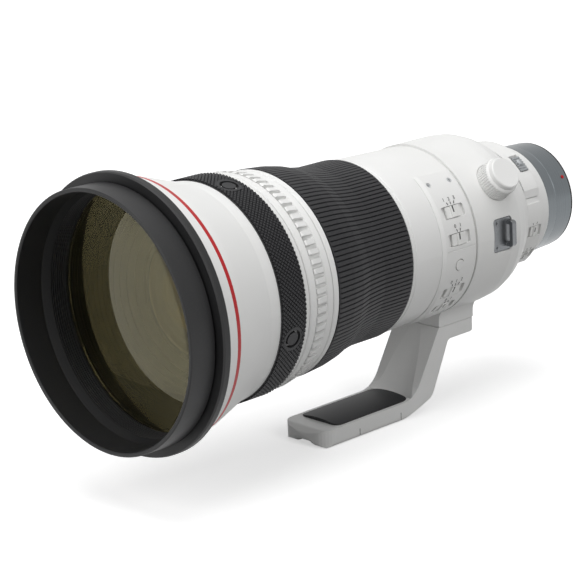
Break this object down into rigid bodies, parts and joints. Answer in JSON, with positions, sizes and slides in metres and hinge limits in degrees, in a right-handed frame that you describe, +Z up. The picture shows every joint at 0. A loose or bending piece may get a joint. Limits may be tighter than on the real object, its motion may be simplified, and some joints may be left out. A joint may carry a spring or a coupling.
{
  "type": "super telephoto lens",
  "caption": "Long white telephoto lens with a flared black front, ribbed focus ring, turning tripod collar with a long foot, drop-in filter drawer and bayonet mount.",
  "frame": {"origin": "centre of the camera flange's rear face, on the optical axis", "axes": "-Y along the optical axis towards the front glass, +Y towards the camera, +Z up, +X towards the side with the switches"},
  "size_m": [0.163, 0.3732, 0.1945],
  "materials": {
    "white_enamel": "satin enamel on aluminium",
    "black_paint": "satin black paint",
    "rubber": "matt moulded rubber",
    "red_paint": "satin red enamel",
    "mount_metal": "blue-grey anodised",
    "steel": "satin steel",
    "glass": "multi-coated optical glass",
    "white_plastic": "moulded switch caps",
    "black_plastic": "moulded, matt",
    "grey_metal": "dark anodised",
    "board": "circuit board",
    "blade_steel": "matt black coated steel"
  },
  "bodies": {
    "barrel": {"front_tube": "black_paint", "front_barrel": "white_enamel", "red_ring": "red_paint", "button_band": "rubber", "control_barrel": "white_enamel", "middle_barrel": "white_enamel", "panel_barrel": "white_enamel", "switch_panel": "white_enamel", "rear_barrel": "white_enamel", "mount_ring": "mount_metal", "mount_seal": "rubber", "barrel_screws": "steel", "bayonet": "steel", "contact_block": "black_plastic", "front_cell": "black_paint", "front_glass": "glass", "guide_rods": "steel", "focus_motor": "grey_metal", "iris_base": "black_paint", "rear_glass": "glass", "circuit_board": "board"},
    "collar": {"collar_ring": "white_enamel", "strap_lugs": "steel", "collar_screws": "steel", "foot": "white_enamel", "foot_pad": "rubber"},
    "lock_knob": {"lock_knob": "white_enamel"},
    "focus": {"focus_ring": "black_paint", "focus_grip": "rubber"},
    "playback": {"playback_ring": "white_enamel"},
    "set_button": {"set_button": "white_plastic"},
    "mode_switch": {"mode_slider": "white_plastic"},
    "stabiliser_switch": {"stabiliser_slider": "white_plastic"},
    "preset_switch": {"preset_slider": "white_plastic"},
    "lock_switch": {"lock_slider": "white_plastic"},
    "af_switch": {"af_slider": "white_plastic"},
    "range_switch": {"range_slider": "white_plastic"},
    "filter_drawer": {"filter_holder": "white_enamel", "filter_glass": "glass"},
    "latch_right": {"filter_latch_right": "grey_metal"},
    "latch_left": {"filter_latch_left": "grey_metal"},
    "cam_ring": {"focus_cam_ring": "grey_metal"},
    "focus_group": {"focus_carriage": "black_paint", "focus_glass": "glass"},
    "iris_ring": {"iris_ring": "black_paint"},
    "stabiliser_frame": {"stabiliser_frame": "grey_metal"},
    "stabiliser_lens": {"stabiliser_lens": "glass"},
    "stop_button_1": {"stop_button_1": "rubber"},
    "stop_button_2": {"stop_button_2": "rubber"},
    "stop_button_3": {"stop_button_3": "rubber"},
    "stop_button_4": {"stop_button_4": "rubber"},
    "blade_1": {"iris_blade_1": "blade_steel"},
    "blade_2": {"iris_blade_2": "blade_steel"},
    "blade_3": {"iris_blade_3": "blade_steel"},
    "blade_4": {"iris_blade_4": "blade_steel"},
    "blade_5": {"iris_blade_5": "blade_steel"},
    "blade_6": {"iris_blade_6": "blade_steel"},
    "blade_7": {"iris_blade_7": "blade_steel"},
    "blade_8": {"iris_blade_8": "blade_steel"},
    "blade_9": {"iris_blade_9": "blade_steel"}
  },
  "joints": [
    {"name": "collar_turn", "type": "hinge", "parent": "barrel", "child": "collar", "pos_m": [0, -0.083, 0], "axis": [0, 1, 0], "continuous": true},
    {"name": "lock_knob_turn", "type": "hinge", "parent": "collar", "child": "lock_knob", "pos_m": [0.04854, -0.08703, 0.03527], "axis": [0.809, 0, 0.5878], "range_deg": [0, 270]},
    {"name": "focus_turn", "type": "hinge", "parent": "barrel", "child": "focus", "pos_m": [0, -0.207, 0], "axis": [0, 1, 0], "continuous": true},
    {"name": "playback_turn", "type": "hinge", "parent": "barrel", "child": "playback", "pos_m": [0, -0.2566, 0], "axis": [0, 1, 0], "range_deg": [-8, 8], "stiffness_Nm_per_rad": 0.4},
    {"name": "stop_button_1_press", "type": "slide", "parent": "barrel", "child": "stop_button_1", "axis": [-0.2588, 0, -0.9659], "range_m": [0, 0.0008], "stiffness_N_per_m": 1500},
    {"name": "stop_button_2_press", "type": "slide", "parent": "barrel", "child": "stop_button_2", "axis": [-0.9659, 0, 0.2588], "range_m": [0, 0.0008], "stiffness_N_per_m": 1500},
    {"name": "stop_button_3_press", "type": "slide", "parent": "barrel", "child": "stop_button_3", "axis": [0.2588, 0, 0.9659], "range_m": [0, 0.0008], "stiffness_N_per_m": 1500},
    {"name": "stop_button_4_press", "type": "slide", "parent": "barrel", "child": "stop_button_4", "axis": [0.9659, 0, -0.2588], "range_m": [0, 0.0008], "stiffness_N_per_m": 1500},
    {"name": "set_button_press", "type": "slide", "parent": "barrel", "child": "set_button", "axis": [-0.9848, 0, 0.1736], "range_m": [0, 0.0008], "stiffness_N_per_m": 1500},
    {"name": "mode_switch_slide", "type": "slide", "parent": "barrel", "child": "mode_switch", "axis": [0, -1, 0], "range_m": [-0.003, 0.003]},
    {"name": "stabiliser_switch_slide", "type": "slide", "parent": "barrel", "child": "stabiliser_switch", "axis": [0, -1, 0], "range_m": [-0.003, 0.003]},
    {"name": "preset_switch_slide", "type": "slide", "parent": "barrel", "child": "preset_switch", "axis": [0, -1, 0], "range_m": [-0.003, 0.003]},
    {"name": "lock_switch_slide", "type": "slide", "parent": "barrel", "child": "lock_switch", "axis": [0, -1, 0], "range_m": [-0.003, 0.003]},
    {"name": "af_switch_slide", "type": "slide", "parent": "barrel", "child": "af_switch", "axis": [0, -1, 0], "range_m": [-0.0019, 0.0019]},
    {"name": "range_switch_slide", "type": "slide", "parent": "barrel", "child": "range_switch", "axis": [0, -1, 0], "range_m": [-0.0019, 0.0019]},
    {"name": "filter_drawer_slide", "type": "slide", "parent": "barrel", "child": "filter_drawer", "axis": [0, 0, 1], "range_m": [0, 0.075]},
    {"name": "latch_right_press", "type": "slide", "parent": "filter_drawer", "child": "latch_right", "axis": [-0.7604, 0, 0.6494], "range_m": [0, 0.0015], "stiffness_N_per_m": 600},
    {"name": "latch_left_press", "type": "slide", "parent": "filter_drawer", "child": "latch_left", "axis": [0.7604, 0, 0.6494], "range_m": [0, 0.0015], "stiffness_N_per_m": 600},
    {"name": "cam_ring_turn", "type": "hinge", "parent": "barrel", "child": "cam_ring", "pos_m": [0, -0.204, 0], "axis": [0, -1, 0], "range_deg": [-30, 30]},
    {"name": "focus_group_travel", "type": "slide", "parent": "barrel", "child": "focus_group", "axis": [0, -1, 0], "range_m": [-0.01201, 0.01201]},
    {"name": "iris_ring_turn", "type": "hinge", "parent": "barrel", "child": "iris_ring", "pos_m": [0, -0.1035, 0], "axis": [0, -1, 0], "range_deg": [0, 4.32]},
    {"name": "blade_1_swing", "type": "hinge", "parent": "barrel", "child": "blade_1", "pos_m": [0.032, -0.0985, 0], "axis": [0, -1, 0], "range_deg": [0, 36.01]},
    {"name": "blade_2_swing", "type": "hinge", "parent": "barrel", "child": "blade_2", "pos_m": [0.02451, -0.0985, 0.02057], "axis": [0, -1, 0], "range_deg": [0, 36.01]},
    {"name": "blade_3_swing", "type": "hinge", "parent": "barrel", "child": "blade_3", "pos_m": [0.00556, -0.0985, 0.03151], "axis": [0, -1, 0], "range_deg": [0, 36.01]},
    {"name": "blade_4_swing", "type": "hinge", "parent": "barrel", "child": "blade_4", "pos_m": [-0.016, -0.0985, 0.02771], "axis": [0, -1, 0], "range_deg": [0, 36.01]},
    {"name": "blade_5_swing", "type": "hinge", "parent": "barrel", "child": "blade_5", "pos_m": [-0.03007, -0.0985, 0.01094], "axis": [0, -1, 0], "range_deg": [0, 36.01]},
    {"name": "blade_6_swing", "type": "hinge", "parent": "barrel", "child": "blade_6", "pos_m": [-0.03007, -0.0985, -0.01094], "axis": [0, -1, 0], "range_deg": [0, 36.01]},
    {"name": "blade_7_swing", "type": "hinge", "parent": "barrel", "child": "blade_7", "pos_m": [-0.016, -0.0985, -0.02771], "axis": [0, -1, 0], "range_deg": [0, 36.01]},
    {"name": "blade_8_swing", "type": "hinge", "parent": "barrel", "child": "blade_8", "pos_m": [0.00556, -0.0985, -0.03151], "axis": [0, -1, 0], "range_deg": [0, 36.01]},
    {"name": "blade_9_swing", "type": "hinge", "parent": "barrel", "child": "blade_9", "pos_m": [0.02451, -0.0985, -0.02057], "axis": [0, -1, 0], "range_deg": [0, 36.01]},
    {"name": "stabiliser_frame_shift", "type": "slide", "parent": "barrel", "child": "stabiliser_frame", "axis": [1, 0, 0], "range_m": [-0.0012, 0.0012], "stiffness_N_per_m": 3000},
    {"name": "stabiliser_lens_shift", "type": "slide", "parent": "stabiliser_frame", "child": "stabiliser_lens", "axis": [0, 0, 1], "range_m": [-0.0012, 0.0012], "stiffness_N_per_m": 3000}
  ],
  "couplings": [
    {"joint": "focus_group_travel", "follows": "cam_ring_turn", "m_per_rad": 0.022918},
    {"joint": "blade_1_swing", "follows": "iris_ring_turn", "ratio": 8.3333},
    {"joint": "blade_2_swing", "follows": "iris_ring_turn", "ratio": 8.3333},
    {"joint": "blade_3_swing", "follows": "iris_ring_turn", "ratio": 8.3333},
    {"joint": "blade_4_swing", "follows": "iris_ring_turn", "ratio": 8.3333},
    {"joint": "blade_5_swing", "follows": "iris_ring_turn", "ratio": 8.3333},
    {"joint": "blade_6_swing", "follows": "iris_ring_turn", "ratio": 8.3333},
    {"joint": "blade_7_swing", "follows": "iris_ring_turn", "ratio": 8.3333},
    {"joint": "blade_8_swing", "follows": "iris_ring_turn", "ratio": 8.3333},
    {"joint": "blade_9_swing", "follows": "iris_ring_turn", "ratio": 8.3333}
  ]
}
